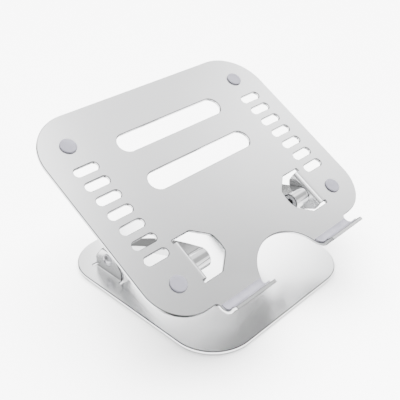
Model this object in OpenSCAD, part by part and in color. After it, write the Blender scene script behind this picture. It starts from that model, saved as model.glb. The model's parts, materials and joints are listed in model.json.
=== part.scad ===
// Folding laptop stand: a sheet-metal base, two arms with round eyes at both
// ends, and a sheet-metal top plate with two turned-up front lips.
// Frame: +X right, +Y to the back, +Z up. Z = 0 is the underside of the feet,
// and the origin is the bottom centre of the whole stand's bounding box.

/* [Sheet metal] */
// thickness of the base and of the top plate
sheet_t = 3; // [2:0.5:5]
// inside radius of the right-angle bends
bend_r = 1; // [0.5:0.5:3]

/* [Top plate] */
// width of the top plate
top_w = 250; // [200:5:320]
// length of the top plate, from its rear edge to its straight front edge
top_d = 195; // [160:5:260]
// corner radius at the rear of the top plate
top_rear_r = 40; // [10:1:60]
// corner radius at the front of the top plate
top_front_r = 35; // [10:1:45]
// length of each of the two long slots
long_slot_l = 117.4; // [60:1:160]
// width of the two long slots
long_slot_w = 18.3; // [8:0.1:30]
// distance from the rear edge to the first long slot's centre line
long_slot_y = 45.9; // [30:0.1:80]
// spacing of the long slots' centre lines
long_slot_pitch = 41.4; // [25:0.1:60]
// number of short slots on each side
short_slots = 7; // [3:1:9]
// length of a short slot
short_slot_l = 22.6; // [12:0.1:40]
// width of a short slot
short_slot_w = 8; // [4:0.1:12]
// distance from the rear edge to the first short slot
short_slot_y = 53.3; // [40:0.1:80]
// spacing of the short slots
short_slot_pitch = 14.7; // [10:0.1:20]
// distance of the short slots and pads from the centre line
side_x = 96.7; // [80:0.1:120]

/* [Front lips] */
// distance from the centre line to a lip's outer end
lip_outer_x = 80.5; // [60:0.5:110]
// radius of the round notch between the lips
notch_r = 37; // [20:0.5:50]
// distance from the rear edge to the notch's centre
notch_rear = 211.8; // [207:0.1:225]
// inside radius of the lip's bend
lip_r = 7; // [4:0.5:8]
// height of the lip's tip above the top face
lip_h = 15; // [14:0.5:30]
// angle at which the lip's tip flares to the front
lip_flare = 13; // [0:1:25]
// thickness of the silicone liner in each lip
liner_t = 0.9; // [0.5:0.1:1.5]

/* [Pads and feet] */
// diameter of the round pads on the top plate
pad_d = 14; // [8:0.5:25]
// height of the round pads above the top face
pad_h = 1.5; // [0.8:0.1:4]
// distance from the rear edge to the rear pads
pad_rear_y = 28.9; // [15:0.1:50]
// distance from the rear edge to the front pads
pad_front_y = 167.4; // [120:0.1:220]
// diameter of the feet under the base
foot_d = 18; // [10:1:22]
// height of the feet under the base
foot_h = 1.5; // [1:0.1:5]
// distance of the feet's centres in from the sides of the base
foot_side = 29; // [24:0.5:36]
// distance of the feet's centres in from the front and rear of the base
foot_end = 14; // [12:0.5:16]

/* [Base] */
// width of the base
base_w = 184; // [150:1:240]
// depth of the base
base_d = 194.6; // [150:0.1:240]
// corner radius of the base
base_r = 39; // [10:1:60]
// distance from the base's centre back to the lower hinge axis
lower_axis_y = 48.6; // [20:0.1:80]
// height of the lower hinge axis above the base's top face
lower_axis_rise = 14; // [12:0.1:25]

/* [Arms] */
// distance between the two hinge axes of an arm
arm_l = 108; // [80:0.5:160]
// width of an arm along the hinge axis
arm_w = 16; // [10:0.5:24]
// radius of the round eyes at an arm's ends
eye_r = 8.4; // [8:0.1:12]
// how far the arm's web bows up between its eyes
arm_bow = 5.6; // [0:0.1:10]
// thickness of the arm's web
web_t = 5.5; // [3:0.5:12]
// slope of the arms as shown
arm_angle = 24.6; // [12:0.1:75]

/* [Hinges] */
// slope of the top plate as shown
top_tilt = 29.4; // [0:0.1:45]
// distance between the inner faces of the left and right ears
ear_span = 143.4; // [120:0.1:180]
// distance from the upper hinge axis up to the top face
upper_axis_drop = 12.1; // [11:0.1:20]
// distance from the top plate's rear edge to the upper hinge axis
upper_axis_y = 157; // [120:1:200]
// radius of a hinge pin's shank
pin_r = 3.5; // [2.5:0.1:4.5]
// radius of a hinge pin's head
pin_head_r = 6.2; // [5.5:0.1:6.3]

/* [Hidden] */
$fn = 96;

// bends and lips, in the top plate's own frame: hinge axis at 0, +Y up the slope
bend_out = bend_r + sheet_t;
ear_in = ear_span / 2;
ear_out = ear_in + sheet_t;
bend_x = ear_in + bend_out;
top_face = upper_axis_drop;
top_under = top_face - sheet_t;
rear_y = upper_axis_y;
front_y = rear_y - top_d;
lip_out = lip_r + sheet_t;
root_r = 3.5;
lip_bend_y = front_y - root_r;
lip_back_y = lip_bend_y - lip_r;
lip_flare_h = 4.5;
lip_straight_h = lip_h - lip_flare_h;
flare_run = lip_flare_h * tan(lip_flare);
lip_tip_y = lip_back_y - sheet_t - flare_run;
lip_tip_z = top_face + lip_h;
lip_root_z = top_face + lip_r;
notch_y = rear_y - notch_rear;
liner_flat = 0.6;
liner_drop = 0.5;
liner_h = lip_straight_h - liner_drop;
liner_inset = 1.5;

// tabs and ears: half an octagon cut from a matching opening
tab_half = 17.8;
tab_shoulder = 13.5;
tab_nose_half = 7.5;
tab_nose_r = 6;
tab_shoulder_r = 3;
opening_half = 20.5;
opening_nose_x = 44;
opening_nose_half = 8.5;
opening_shoulder_x = 58.4;
opening_nose_r = 7;
opening_bow = 1;
opening_bow_r = 30;
opening_shoulder_r = 3;
base_opening_half = 20;
relief_l = 2;
relief_r = 1;
lower_tab_drop = 9.5;
upper_tab_drop = 12.5;

// hinge stack, measured out from the centre plane
gap = 0.1;
thrust_t = 0.5;
arm_out = ear_in - thrust_t - gap / 2;
arm_in = arm_out - arm_w;
head_sink = 0.4;
head_t = 2.5;
head_play = 0.2;
spring_t = 1.2;
bush_wall = 1.5;
cup_sink = 0.2;
cup_wall = 1.2;
cup_floor_t = 0.8;
cup_in_r = pin_head_r + head_play;
cup_edge = arm_in + cup_sink;
cup_floor = arm_in + head_sink + head_t + spring_t + gap;
seat_r = cup_in_r + cup_wall;
seat_floor = cup_floor + cup_floor_t;
running_gap = 0.05;
bush_in_r = pin_r + running_gap;
bush_out_r = bush_in_r + bush_wall;
thrust_r = 7.6;
screw_r = 2.5;
screw_head_r = 5;
screw_head_h = 2.6;
screw_dome_r = 6.5;
screw_washer_r = 6;
screw_washer_t = 0.8;
screw_reach = 9;
socket_key_r = 3.5;
socket_depth = 2;
screw_key_r = 1.75;

// places of the two hinge axes above the feet
base_top = foot_h + sheet_t;
base_rear_y = base_d / 2 - lower_axis_y;
base_front_y = base_rear_y - base_d;
upper_dy = -arm_l * cos(arm_angle);
upper_dz = arm_l * sin(arm_angle);
foot_x = base_w / 2 - foot_side;
foot_y = base_d / 2 - foot_end;

// the whole stand's front and back ends, for the origin
back_end = base_d / 2;
front_end = lower_axis_y + upper_dy + lip_tip_y * cos(top_tilt) - lip_tip_z * sin(top_tilt);
shift_y = -(back_end + front_end) / 2;
lower_y = lower_axis_y + shift_y;
lower_z = base_top + lower_axis_rise;
upper_y = lower_y + upper_dy;
upper_z = lower_z + upper_dz;

metal = [0.80, 0.81, 0.82];
steel = [0.62, 0.63, 0.65];
silicone = [0.74, 0.74, 0.77];
polymer = [0.25, 0.25, 0.27];

// ---------- frames ----------

module at_lower() {
    translate([0, lower_y, lower_z]) children();
}

module at_arm() {
    at_lower() rotate([-arm_angle, 0, 0]) children();
}

module at_upper() {
    translate([0, upper_y, upper_z]) rotate([top_tilt, 0, 0]) children();
}

module both_sides() {
    children();
    mirror([1, 0, 0]) children();
}

module left_side() {
    mirror([1, 0, 0]) children();
}

// children drawn in a Y-Z profile, extruded along X from x0 to x1
module along_x(x0, x1) {
    translate([x0, 0, 0]) rotate([90, 0, 90]) linear_extrude(height = x1 - x0) children();
}

// ---------- shapes ----------

module rod(r, x0, x1) {
    translate([x0, 0, 0]) rotate([0, 90, 0]) cylinder(r = r, h = x1 - x0);
}

module ring(r_out, r_in, x0, x1) {
    difference() {
        rod(r_out, x0, x1);
        rod(r_in, x0 - 1, x1 + 1);
    }
}

module hex_hole(key_r, x0, x1) {
    translate([x0, 0, 0]) rotate([0, 90, 0]) cylinder(r = key_r, h = x1 - x0, $fn = 6);
}

module slot_shape(length, width) {
    square([length - width, width], center = true);
    for (side = [-1, 1])
        translate([side * (length - width) / 2, 0]) circle(d = width);
}

// a rectangle from y0 to y1, with its own radius at the front and the rear
module rounded_panel(width, y0, y1, front_r, rear_r) {
    half = width / 2;
    difference() {
        translate([-half, y0]) square([width, y1 - y0]);
        both_sides() {
            translate([half - front_r, y0 + front_r]) mirror([0, 1]) corner_cut(front_r);
            translate([half - rear_r, y1 - rear_r]) corner_cut(rear_r);
        }
    }
}

// what rounding a corner takes away, with the corner's arc centred on the origin
module corner_cut(r) {
    difference() {
        square(r + 1);
        circle(r = r);
    }
}

// the quarter of a ring that joins a flat below it to an upright on its left
module quarter_ring(r_in, r_out) {
    intersection() {
        difference() {
            circle(r = r_out);
            circle(r = r_in);
        }
        translate([-r_out, -r_out]) square(r_out);
    }
}

// points of an outline with each corner rounded to its radius
function unit(v) = v / norm(v);
function corner(a, b, c, r, n = 8) =
    let (
        u = unit(a - b),
        v = unit(c - b),
        half = acos(max(-1, min(1, u * v))) / 2,
        centre = b + unit(u + v) * r / sin(half),
        p = b + u * r / tan(half) - centre,
        q = b + v * r / tan(half) - centre,
        start = atan2(p[1], p[0]),
        turn = atan2(p[0] * q[1] - p[1] * q[0], p * q)
    )
    [for (i = [0 : n]) centre + r * [cos(start + turn * i / n), sin(start + turn * i / n)]];
function rounded(pts, radii) =
    let (n = len(pts))
    [for (i = [0 : n - 1])
        each (radii[i] == 0 ? [pts[i]]
            : corner(pts[(i + n - 1) % n], pts[i], pts[(i + 1) % n], radii[i]))];

// half-octagon opening on the right with a slightly bowed inner side; beside
// the tab it runs on past the bend
module tab_opening(half) {
    nose = opening_nose_half * half / opening_half;
    end_x = bend_x + relief_l;
    difference() {
        polygon(rounded(
            [[end_x, half], [opening_shoulder_x, half], [opening_nose_x, nose],
             [opening_nose_x - opening_bow, 0], [opening_nose_x, -nose],
             [opening_shoulder_x, -half], [end_x, -half]],
            [relief_r, opening_shoulder_r, opening_nose_r, opening_bow_r, opening_nose_r,
             opening_shoulder_r, relief_r]));
        translate([bend_x, -tab_half]) square([2 * relief_l, 2 * tab_half]);
    }
}

// outline of a tab in the Y-Z plane; +z points from the sheet to the tab's nose
module tab_outline(root_z, drop) {
    polygon(rounded(
        [[-tab_half, root_z], [-tab_half, drop - tab_shoulder], [-tab_nose_half, drop],
         [tab_nose_half, drop], [tab_half, drop - tab_shoulder], [tab_half, root_z]],
        [0, tab_shoulder_r, tab_nose_r, tab_nose_r, tab_shoulder_r, 0]));
}

// section of a right-angle bend in the X-Z plane: the sheet lies outboard of
// bend_x with its outer face at z = 0, and the tab runs down to z = -depth
module bend_section(depth) {
    translate([bend_x, -bend_out]) mirror([0, 1, 0]) quarter_ring(bend_r, bend_out);
    translate([ear_in, -depth]) square([sheet_t, depth - bend_out]);
}

// a bent tab on the right; its outer face is at z = 0 and its nose points to -Z
module bent_tab(axis_depth, drop) {
    intersection() {
        rotate([90, 0, 0]) translate([0, 0, -tab_half - 1])
            linear_extrude(height = 2 * tab_half + 2) bend_section(axis_depth + drop + 1);
        translate([0, 0, -axis_depth]) mirror([0, 0, 1])
            along_x(ear_in - 1, bend_x + 1) tab_outline(-axis_depth - 1, drop);
    }
}

// ---------- base ----------

module base_plate() {
    color(metal) translate([0, lower_y, foot_h]) difference() {
        union() {
            linear_extrude(height = sheet_t) difference() {
                rounded_panel(base_w, base_front_y, base_rear_y, base_r, base_r);
                both_sides() tab_opening(base_opening_half);
            }
            both_sides() mirror([0, 0, 1]) bent_tab(sheet_t + lower_axis_rise, lower_tab_drop);
        }
        translate([0, 0, sheet_t + lower_axis_rise]) both_sides() rod(pin_r, ear_in - 2, ear_out + 2);
    }
}

module foot(side, end) {
    color(silicone) translate([side * foot_x, shift_y + end * foot_y, 0]) cylinder(d = foot_d, h = foot_h);
}

module foot_front_left() { foot(-1, -1); }

module foot_front_right() { foot(1, -1); }

module foot_rear_left() { foot(-1, 1); }

module foot_rear_right() { foot(1, 1); }

// ---------- hinge hardware, drawn for the right side on its own axis ----------

// flanged pin: head sunk in the arm's inner face, shank out to the ear's outer face;
// the hex socket in its head holds it still while the screw is tightened
module pin() {
    head_in = arm_in + head_sink;
    difference() {
        union() {
            rod(pin_head_r, head_in, head_in + head_t);
            rod(pin_r, head_in + head_t / 2, ear_out);
        }
        hex_hole(socket_key_r, head_in - 1, head_in + socket_depth);
        rod(screw_r, ear_out - screw_reach - 1, ear_out + 1);
    }
}

module screw() {
    seat = ear_out + screw_washer_t;
    difference() {
        union() {
            translate([seat, 0, 0]) rotate([0, 90, 0]) rotate_extrude() intersection() {
                square([screw_head_r, screw_head_h]);
                translate([0, screw_head_h - screw_dome_r]) circle(r = screw_dome_r);
            }
            rod(screw_r, ear_out - screw_reach, seat + screw_washer_t);
        }
        hex_hole(screw_key_r, seat + 1, seat + screw_head_h + 1);
    }
}

module screw_washer() {
    ring(screw_washer_r, screw_r, ear_out, ear_out + screw_washer_t);
}

module thrust_washer() {
    ring(thrust_r, pin_r, ear_in - thrust_t, ear_in);
}

module spring_washer() {
    seat = arm_in + head_sink + head_t;
    ring(pin_head_r - head_play, pin_r, seat, seat + spring_t);
}

// flanged bush: a sleeve round the pin's shank and a cup round its head, both
// pressed into the arm's eye, so that the pin never rubs on the arm
module bush() {
    difference() {
        union() {
            rod(bush_out_r, cup_edge, arm_out);
            rod(seat_r, cup_edge, seat_floor);
        }
        rod(bush_in_r, cup_edge - 1, arm_out + 1);
        rod(cup_in_r, cup_edge - 1, cup_floor);
    }
}

module lower_left_pin() { color(steel) at_lower() left_side() pin(); }

module lower_right_pin() { color(steel) at_lower() pin(); }

module lower_screws() { color(steel) at_lower() both_sides() screw(); }

module lower_screw_washers() { color(steel) at_lower() both_sides() screw_washer(); }

module lower_thrust_washers() { color(polymer) at_lower() both_sides() thrust_washer(); }

module lower_spring_washers() { color(steel) at_lower() both_sides() spring_washer(); }

module upper_left_pin() { color(steel) at_upper() left_side() pin(); }

module upper_right_pin() { color(steel) at_upper() pin(); }

module upper_screws() { color(steel) at_upper() both_sides() screw(); }

module upper_screw_washers() { color(steel) at_upper() both_sides() screw_washer(); }

module upper_thrust_washers() { color(polymer) at_upper() both_sides() thrust_washer(); }

module upper_spring_washers() { color(steel) at_upper() both_sides() spring_washer(); }

// ---------- arms ----------

// side view of an arm: lower eye at 0, upper eye at -arm_l, web bowed upwards
module arm_profile() {
    bow_r = (pow(arm_l / 2, 2) + pow(arm_bow, 2)) / (2 * arm_bow);
    bow_z = eye_r + arm_bow - bow_r;
    for (y = [0, -arm_l])
        translate([y, 0]) circle(r = eye_r);
    intersection() {
        difference() {
            translate([-arm_l / 2, bow_z]) circle(r = bow_r, $fn = 360);
            translate([-arm_l / 2, bow_z]) circle(r = bow_r - web_t, $fn = 360);
        }
        translate([-arm_l, 0]) square([arm_l, 2 * eye_r]);
    }
}

module arm() {
    difference() {
        at_arm() along_x(arm_in, arm_out) arm_profile();
        at_arm() for (y = [0, -arm_l])
            translate([0, y, 0]) {
                rod(bush_out_r, arm_in - 1, arm_out + 1);
                rod(seat_r, arm_in - 1, seat_floor);
            }
    }
}

module left_arm() { color(metal) left_side() arm(); }

module right_arm() { color(metal) arm(); }

module lower_bushes() { color(polymer) at_lower() both_sides() bush(); }

module upper_bushes() {
    color(polymer) translate([0, upper_y, upper_z]) both_sides() bush();
}

// ---------- top plate ----------

module top_openings() {
    for (i = [0, 1])
        translate([0, rear_y - long_slot_y - i * long_slot_pitch]) slot_shape(long_slot_l, long_slot_w);
    for (side = [-1, 1], i = [0 : short_slots - 1])
        translate([side * side_x, rear_y - short_slot_y - i * short_slot_pitch])
            slot_shape(short_slot_l, short_slot_w);
    both_sides() tab_opening(opening_half);
}

// flat part of the plate, with the tongue that runs on into the lips
module top_outline() {
    difference() {
        union() {
            rounded_panel(top_w, front_y, rear_y, top_front_r, top_rear_r);
            polygon(rounded(
                [[-lip_outer_x - 2 * root_r, front_y + root_r], [-lip_outer_x - 2 * root_r, front_y],
                 [-lip_outer_x, front_y], [-lip_outer_x, lip_bend_y],
                 [lip_outer_x, lip_bend_y], [lip_outer_x, front_y],
                 [lip_outer_x + 2 * root_r, front_y], [lip_outer_x + 2 * root_r, front_y + root_r]],
                [0, 0, root_r, 0, 0, root_r, 0, 0]));
        }
        translate([0, notch_y]) circle(r = notch_r);
        top_openings();
    }
}

// sheet section of a lip in the Y-Z plane
module lip_section() {
    translate([lip_bend_y, lip_root_z]) quarter_ring(lip_r, lip_out);
    polygon([[lip_back_y, lip_root_z], [lip_back_y, top_face + lip_straight_h],
             [lip_back_y - flare_run, lip_tip_z], [lip_tip_y, lip_tip_z],
             [lip_back_y - sheet_t, top_face + lip_straight_h], [lip_back_y - sheet_t, lip_root_z]]);
}

module top_plate() {
    color(metal) at_upper() difference() {
        union() {
            translate([0, 0, top_under]) linear_extrude(height = sheet_t) top_outline();
            difference() {
                along_x(-lip_outer_x, lip_outer_x) lip_section();
                translate([0, notch_y, top_under - 1]) cylinder(r = notch_r, h = lip_h + sheet_t + 2);
            }
            translate([0, 0, top_face]) both_sides() bent_tab(upper_axis_drop, upper_tab_drop);
        }
        both_sides() rod(pin_r, ear_in - 2, ear_out + 2);
    }
}

module pad(side, y) {
    color(silicone) at_upper()
        translate([side * side_x, rear_y - y, top_face]) cylinder(d = pad_d, h = pad_h);
}

module pad_rear_left() { pad(-1, pad_rear_y); }

module pad_rear_right() { pad(1, pad_rear_y); }

module pad_front_left() { pad(-1, pad_front_y); }

module pad_front_right() { pad(1, pad_front_y); }

// silicone strip along the inside of a lip: a short flat, a quarter bend and an upright
module liner_section() {
    translate([lip_bend_y, lip_root_z]) quarter_ring(lip_r - liner_t, lip_r);
    translate([lip_bend_y, top_face]) square([liner_flat, liner_t]);
    translate([lip_back_y, lip_root_z]) square([liner_t, liner_h - lip_r]);
}

module liner() {
    at_upper() difference() {
        along_x(0, lip_outer_x - liner_inset) liner_section();
        translate([0, notch_y, top_face - 1]) cylinder(r = notch_r + liner_inset, h = lip_h);
    }
}

module left_lip_liner() { color(silicone) left_side() liner(); }

module right_lip_liner() { color(silicone) liner(); }

base_plate();
foot_front_left();
foot_front_right();
foot_rear_left();
foot_rear_right();
lower_left_pin();
lower_right_pin();
lower_screws();
lower_screw_washers();
lower_thrust_washers();
lower_spring_washers();
left_arm();
right_arm();
lower_bushes();
upper_bushes();
top_plate();
pad_rear_left();
pad_rear_right();
pad_front_left();
pad_front_right();
left_lip_liner();
right_lip_liner();
upper_left_pin();
upper_right_pin();
upper_screws();
upper_screw_washers();
upper_thrust_washers();
upper_spring_washers();
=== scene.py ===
import json
import math

import bpy
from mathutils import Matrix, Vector


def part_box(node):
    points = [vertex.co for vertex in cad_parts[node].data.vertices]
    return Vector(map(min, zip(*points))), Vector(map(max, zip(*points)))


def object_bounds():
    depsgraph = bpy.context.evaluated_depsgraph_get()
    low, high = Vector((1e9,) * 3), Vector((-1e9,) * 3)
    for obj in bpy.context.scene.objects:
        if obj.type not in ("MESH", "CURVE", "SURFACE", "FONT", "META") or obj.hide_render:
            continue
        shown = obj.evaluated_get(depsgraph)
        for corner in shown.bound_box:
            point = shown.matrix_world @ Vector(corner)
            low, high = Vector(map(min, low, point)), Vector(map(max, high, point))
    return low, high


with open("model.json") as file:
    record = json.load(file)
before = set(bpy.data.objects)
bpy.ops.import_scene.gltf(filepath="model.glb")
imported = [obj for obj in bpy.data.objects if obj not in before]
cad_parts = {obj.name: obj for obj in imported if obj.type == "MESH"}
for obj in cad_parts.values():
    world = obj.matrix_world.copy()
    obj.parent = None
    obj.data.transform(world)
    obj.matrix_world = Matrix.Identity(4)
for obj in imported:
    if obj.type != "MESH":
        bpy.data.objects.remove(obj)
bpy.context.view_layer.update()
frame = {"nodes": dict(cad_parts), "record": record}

# Lengths are in metres and colours are linear.

# ---------------------------------------------------------------- material helpers

# nearly all of a noise texture's values lie between these two
NOISE_LOW = 0.35
NOISE_HIGH = 0.65

DEFAULT_SPECULAR = 0.5

# the painted shade inside a hexagon socket starts and is complete this far behind the pin head's face
SOCKET_SHADE_START = 0.0010
SOCKET_SHADE_FULL = 0.0018
# the colour of the painted shade deep in the sockets
SOCKET_SHADE_COLOUR = (0.03, 0.03, 0.032, 1)


def new_material(name, metallic):
    material = bpy.data.materials.new(name)
    material.use_nodes = True
    tree = material.node_tree
    shader = tree.nodes["Principled BSDF"]
    shader.inputs["Metallic"].default_value = metallic
    coords = tree.nodes.new("ShaderNodeTexCoord").outputs["Object"]
    return material, tree, shader, coords


def noise(tree, coords, scale, detail, stretch=(1, 1, 1)):
    mapping = tree.nodes.new("ShaderNodeMapping")
    mapping.inputs["Scale"].default_value = stretch
    texture = tree.nodes.new("ShaderNodeTexNoise")
    texture.inputs["Scale"].default_value = scale
    texture.inputs["Detail"].default_value = detail
    tree.links.new(coords, mapping.inputs["Vector"])
    tree.links.new(mapping.outputs["Vector"], texture.inputs["Vector"])
    return texture.outputs["Fac"]


def spread(tree, value, low, high, start=NOISE_LOW, end=NOISE_HIGH):
    """maps start..end to low..high, and holds it there beyond them"""
    reach = tree.nodes.new("ShaderNodeMapRange")
    reach.inputs["From Min"].default_value = start
    reach.inputs["From Max"].default_value = end
    reach.inputs["To Min"].default_value = low
    reach.inputs["To Max"].default_value = high
    tree.links.new(value, reach.inputs["Value"])
    return reach.outputs["Result"]


def two_colours(tree, value, first, second):
    """blends from the first colour to the second over the middle of a noise"""
    ramp = tree.nodes.new("ShaderNodeValToRGB")
    low_stop, high_stop = ramp.color_ramp.elements
    low_stop.position = NOISE_LOW
    low_stop.color = (*first, 1)
    high_stop.position = NOISE_HIGH
    high_stop.color = (*second, 1)
    tree.links.new(value, ramp.inputs["Fac"])
    return ramp.outputs["Color"]


def bump(tree, shader, value, strength, distance):
    relief = tree.nodes.new("ShaderNodeBump")
    relief.inputs["Strength"].default_value = strength
    relief.inputs["Distance"].default_value = distance
    tree.links.new(value, relief.inputs["Height"])
    tree.links.new(relief.outputs["Normal"], shader.inputs["Normal"])


def colour_socket(sockets, name):
    """a Mix node has sockets of one name for numbers, vectors and colours: takes the colour's"""
    return next(socket for socket in sockets if socket.name == name and socket.type == "RGBA")


def painted_socket_shade(tree, coords, colour, face_x):
    """painted shade: darkens what lies further out than the pin heads' faces, the hexagon sockets'
    insides
    """
    position = tree.nodes.new("ShaderNodeSeparateXYZ")
    tree.links.new(coords, position.inputs["Vector"])
    outwards = tree.nodes.new("ShaderNodeMath")
    outwards.operation = "ABSOLUTE"
    tree.links.new(position.outputs["X"], outwards.inputs[0])
    inside = spread(tree, outwards.outputs["Value"], 0, 1, face_x + SOCKET_SHADE_START, face_x + SOCKET_SHADE_FULL)
    mix = tree.nodes.new("ShaderNodeMix")
    mix.data_type = "RGBA"
    tree.links.new(inside, mix.inputs["Factor"])
    tree.links.new(colour, colour_socket(mix.inputs, "A"))
    colour_socket(mix.inputs, "B").default_value = SOCKET_SHADE_COLOUR
    return colour_socket(mix.outputs, "Result")


def finish(
    name, metallic, colours, roughness, grain, relief,
    cloud=None, specular=DEFAULT_SPECULAR, socket_face=None,
):
    """a fine grain varies the roughness and stands out as relief, and a slower cloud (or the
    same grain, where no cloud is given) varies the colour"""
    material, tree, shader, coords = new_material(name, metallic)
    shader.inputs["Specular IOR Level"].default_value = specular
    fine = noise(tree, coords, **grain)
    slow = noise(tree, coords, **cloud) if cloud else fine
    colour = two_colours(tree, slow, *colours)
    # painted shade inside the pins' hexagon sockets
    if socket_face is not None:
        colour = painted_socket_shade(tree, coords, colour, socket_face)
    tree.links.new(colour, shader.inputs["Base Color"])
    tree.links.new(spread(tree, fine, *roughness), shader.inputs["Roughness"])
    bump(tree, shader, fine, **relief)
    return material


# ---------------------------------------------------------------- finishes

# brushing marks drawn out along X, the direction of the hinge axes
BRUSHED = {"scale": 900, "detail": 2, "stretch": (0.15, 1, 1)}

# the record's slots
LOOKS = {
    # bead-blasted, clear-anodised sheet: fine satin grain with faint cloudy variation
    "anodised": finish(
        "anodised_aluminium",
        metallic=1.0,
        colours=((0.785, 0.79, 0.797), (0.815, 0.82, 0.827)),
        roughness=(0.185, 0.245),
        grain={"scale": 2600, "detail": 2},
        cloud={"scale": 18, "detail": 3},
        relief={"strength": 0.12, "distance": 0.00003},
    ),
    # screws and washers
    "steel": finish(
        "brushed_steel",
        metallic=1.0,
        colours=((0.40, 0.40, 0.42), (0.56, 0.56, 0.58)),
        roughness=(0.22, 0.40),
        grain=BRUSHED,
        relief={"strength": 0.15, "distance": 0.00003},
    ),
    # matt grey silicone with a fine moulded texture
    "silicone": finish(
        "grey_silicone",
        metallic=0.0,
        colours=((0.110, 0.108, 0.128), (0.135, 0.133, 0.155)),
        roughness=(0.52, 0.72),
        grain={"scale": 1500, "detail": 3},
        cloud={"scale": 90, "detail": 2},
        relief={"strength": 0.12, "distance": 0.00003},
        specular=0.35,
    ),
    # dark, slightly waxy bearing plastic
    "bearing": finish(
        "bearing_plastic",
        metallic=0.0,
        colours=((0.015, 0.015, 0.017), (0.03, 0.03, 0.032)),
        roughness=(0.38, 0.52),
        grain={"scale": 1200, "detail": 2},
        relief={"strength": 0.15, "distance": 0.00003},
        specular=0.2,
    ),
}

# the arms: the same metal as the sheets, ground finer, so that it mirrors what is near it
POLISHED = finish(
    "polished_aluminium",
    metallic=1.0,
    colours=((0.70, 0.705, 0.71), (0.75, 0.755, 0.76)),
    roughness=(0.12, 0.20),
    grain={"scale": 1800, "detail": 2, "stretch": (0.2, 1, 1)},
    cloud={"scale": 30, "detail": 3},
    relief={"strength": 0.08, "distance": 0.00002},
)

# the hinge pins: steel, with painted shade darkening the inside of the hexagon sockets
PIN_STEEL = finish(
    "pin_steel",
    metallic=1.0,
    colours=((0.36, 0.36, 0.38), (0.54, 0.54, 0.56)),
    roughness=(0.22, 0.40),
    grain=BRUSHED,
    relief={"strength": 0.15, "distance": 0.00003},
    socket_face=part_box("upper_right_pin")[0][0],
)

# the thin deburred edge of the sheets, painted dark: a painted shade line that stands in for the
# shade and dark reflections along the edges
PAINTED_EDGE_SHADE = finish(
    "painted_edge_shade",
    metallic=1.0,
    colours=((0.06, 0.06, 0.063), (0.10, 0.10, 0.104)),
    roughness=(0.28, 0.42),
    grain={"scale": 700, "detail": 3},
    relief={"strength": 0.10, "distance": 0.00003},
)


def look_of(part):
    if part["node"].endswith("_arm"):
        return POLISHED
    if part["node"].endswith("_pin"):
        return PIN_STEEL
    return LOOKS[part["material_slot"]]


for part in frame["record"]["subparts"]:
    materials = frame["nodes"][part["node"]].data.materials
    materials.clear()
    materials.append(look_of(part))

# ---------------------------------------------------------------- chamfered edges

WELD_DISTANCE = 0.00001
FLAT_ANGLE = math.radians(1)      # faces that meet at less than this are one face
SHARP_ANGLE = math.radians(20)    # shading breaks at edges steeper than this
CHAMFER_ANGLE = math.radians(40)  # edges steeper than this get a chamfer
CHAMFER = 0.0005
# the base's chamfer is wider, which gives a wider painted shade line round it
BASE_CHAMFER = 0.0007
# the material slot of the painted edge shade
PAINTED_EDGE_SHADE_SLOT = 1                     # after the sheet's own finish in slot 0
SHEETS = ("base_plate", "top_plate")


def flat_faces():
    """shades each face by its own plane, and runs smoothly only over gentle curves"""
    tree = bpy.data.node_groups.new("flat_faces", "GeometryNodeTree")
    tree.interface.new_socket("Geometry", in_out="INPUT", socket_type="NodeSocketGeometry")
    tree.interface.new_socket("Geometry", in_out="OUTPUT", socket_type="NodeSocketGeometry")
    nodes = tree.nodes
    links = tree.links
    start = nodes.new("NodeGroupInput")
    end = nodes.new("NodeGroupOutput")
    clear = nodes.new("GeometryNodeRemoveAttribute")
    clear.inputs["Name"].default_value = "custom_normal"
    smooth = nodes.new("GeometryNodeSetShadeSmooth")
    smooth.domain = "FACE"
    sharp = nodes.new("GeometryNodeSetShadeSmooth")
    sharp.domain = "EDGE"
    sharp.inputs["Shade Smooth"].default_value = False
    angle = nodes.new("GeometryNodeInputMeshEdgeAngle")
    steep = nodes.new("FunctionNodeCompare")
    steep.operation = "GREATER_THAN"
    steep.inputs["B"].default_value = SHARP_ANGLE
    links.new(start.outputs["Geometry"], clear.inputs["Geometry"])
    links.new(clear.outputs["Geometry"], smooth.inputs["Geometry"])
    links.new(smooth.outputs["Geometry"], sharp.inputs["Geometry"])
    links.new(angle.outputs["Unsigned Angle"], steep.inputs["A"])
    links.new(steep.outputs["Result"], sharp.inputs["Selection"])
    links.new(sharp.outputs["Geometry"], end.inputs["Geometry"])
    return tree


def chamfer(thing, width, shading_tree):
    """the mesh comes with split vertices, so it is welded before its edges can be cut"""
    joined = thing.modifiers.new("joined", "WELD")
    joined.merge_threshold = WELD_DISTANCE
    merged = thing.modifiers.new("merged", "DECIMATE")
    merged.decimate_type = "DISSOLVE"
    merged.angle_limit = FLAT_ANGLE
    edge = thing.modifiers.new("edge", "BEVEL")
    edge.width = width
    edge.segments = 1
    edge.limit_method = "ANGLE"
    edge.angle_limit = CHAMFER_ANGLE
    edge.use_clamp_overlap = False
    shading = thing.modifiers.new("shading", "NODES")
    shading.node_group = shading_tree
    return edge


FLAT_FACES = flat_faces()
for name, thing in frame["nodes"].items():
    if name in SHEETS:
        edge = chamfer(thing, BASE_CHAMFER if name == "base_plate" else CHAMFER, FLAT_FACES)
        # the sheets' chamfers get the painted edge shade
        thing.data.materials.append(PAINTED_EDGE_SHADE)
        edge.material = PAINTED_EDGE_SHADE_SLOT
    elif "pad_" in name or "foot_" in name:
        chamfer(thing, CHAMFER, FLAT_FACES)

# ---------------------------------------------------------------- floor

FLOOR_SIZE = 8
FLOOR_ROUGHNESS = 0.6


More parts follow.
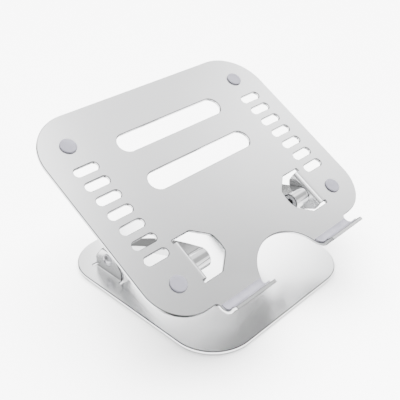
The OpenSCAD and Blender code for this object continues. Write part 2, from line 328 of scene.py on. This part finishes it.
def pale_floor():
    """matt and very faintly clouded"""
    material, tree, shader, coords = new_material("pale_floor", metallic=0.0)
    shader.inputs["Roughness"].default_value = FLOOR_ROUGHNESS
    cloud = noise(tree, coords, scale=2, detail=2)
    colour = two_colours(tree, cloud, (0.89, 0.89, 0.89), (0.91, 0.91, 0.91))
    tree.links.new(colour, shader.inputs["Base Color"])
    return material


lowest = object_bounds()[0]
bpy.ops.mesh.primitive_plane_add(size=FLOOR_SIZE, location=(0, 0, lowest.z))
floor = bpy.context.object
floor.name = "floor"
floor.data.materials.append(pale_floor())
floor.visible_glossy = False  # the metal mirrors the world's patches in its place

# ---------------------------------------------------------------- light

# brightness of the sky between the patches, and of the background that the camera sees
SKY = 2.2
BACKDROP = 8.0

# each patch: direction, angle of its full-strength core, angle where it ends, brightness;
# a later patch covers an earlier one
PATCHES = [
    ((0, 0, -1), 90, 102, 0.15),          # dark walls all round, at the horizon
    ((0, 0, -1), 76, 88, 4.5),            # light bounced up from the pale table
    ((0, 0, -1), 15, 36, 0.10),           # the object's own shade under itself
    ((0, 0, 1), 17, 31, 7.0),             # overhead softbox
    ((0.83, -0.17, 0.53), 3, 22, 4.8),    # right-hand softbox
    ((0.86, 0.10, 0.06), 8, 30, 1.1),     # dim doorway low on the right
    ((0.63, 0.58, 0.50), 6, 12, 11.0),    # rear softbox
    ((0.50, -0.61, 0.62), 16, 38, 0.85),  # flag in front
    ((-0.85, 0.40, 0.35), 20, 42, 0.35),  # darker side of the room
    ((0.62, 0.68, -0.32), 29, 42, 0.38),  # dim wall and table edge at the right rear
    ((0.40, -0.85, -0.15), 12, 38, 3.0),  # pale wall in front
]

# from the object to the lamp
KEY_DIRECTION = Vector((0.35, 0.45, 1.9))
KEY_STRENGTH = 24
KEY_SPREAD = math.radians(80)


def studio_world():
    """a pale sky with soft patches by direction, and for the camera one plain backdrop"""
    world = bpy.data.worlds.new("studio")
    world.use_nodes = True
    nodes = world.node_tree.nodes
    links = world.node_tree.links
    coords = nodes.new("ShaderNodeTexCoord")
    level = nodes.new("ShaderNodeValue").outputs["Value"]
    level.default_value = SKY
    for direction, inner, outer, value in PATCHES:
        dot = nodes.new("ShaderNodeVectorMath")
        dot.operation = "DOT_PRODUCT"
        dot.inputs[1].default_value = Vector(direction).normalized()
        links.new(coords.outputs["Generated"], dot.inputs[0])
        fade = nodes.new("ShaderNodeMapRange")
        fade.interpolation_type = "SMOOTHSTEP"
        fade.inputs["From Min"].default_value = math.cos(math.radians(outer))
        fade.inputs["From Max"].default_value = math.cos(math.radians(inner))
        links.new(dot.outputs["Value"], fade.inputs["Value"])
        mix = nodes.new("ShaderNodeMix")
        mix.inputs["B"].default_value = value
        links.new(fade.outputs["Result"], mix.inputs["Factor"])
        links.new(level, mix.inputs["A"])
        level = mix.outputs["Result"]
    seen = nodes.new("ShaderNodeMix")
    seen.inputs["B"].default_value = BACKDROP
    links.new(nodes.new("ShaderNodeLightPath").outputs["Is Camera Ray"], seen.inputs["Factor"])
    links.new(level, seen.inputs["A"])
    links.new(seen.outputs["Result"], nodes["Background"].inputs["Strength"])
    nodes["Background"].inputs["Color"].default_value = (1, 1, 1, 1)
    return world


def place(name, data, rotation):
    """puts a lamp or camera in the scene"""
    thing = bpy.data.objects.new(name, data)
    bpy.context.collection.objects.link(thing)
    thing.rotation_euler = rotation
    return thing


def facing(direction):
    """the rotation of a lamp or camera that looks along a direction"""
    return direction.to_track_quat("-Z", "Y").to_euler()


bpy.context.scene.world = studio_world()

key_light = bpy.data.lights.new("key", "SUN")
key_light.energy = KEY_STRENGTH
key_light.angle = KEY_SPREAD
key = place("key", key_light, facing(-KEY_DIRECTION))
key.visible_glossy = False

# ---------------------------------------------------------------- camera

# the photograph's viewing point and direction
LENS = 59.0
SENSOR_WIDTH = 36
NEAREST = 0.01
EYE = Vector((-0.35106, -0.32696, 0.37109))
FORWARD = Vector((0.60923, 0.58993, -0.52992)).normalized()

camera = bpy.data.cameras.new("camera")
camera.lens = LENS
camera.sensor_width = SENSOR_WIDTH
camera.clip_start = NEAREST
eye = place("camera", camera, facing(FORWARD))
eye.location = EYE
bpy.context.scene.camera = eye
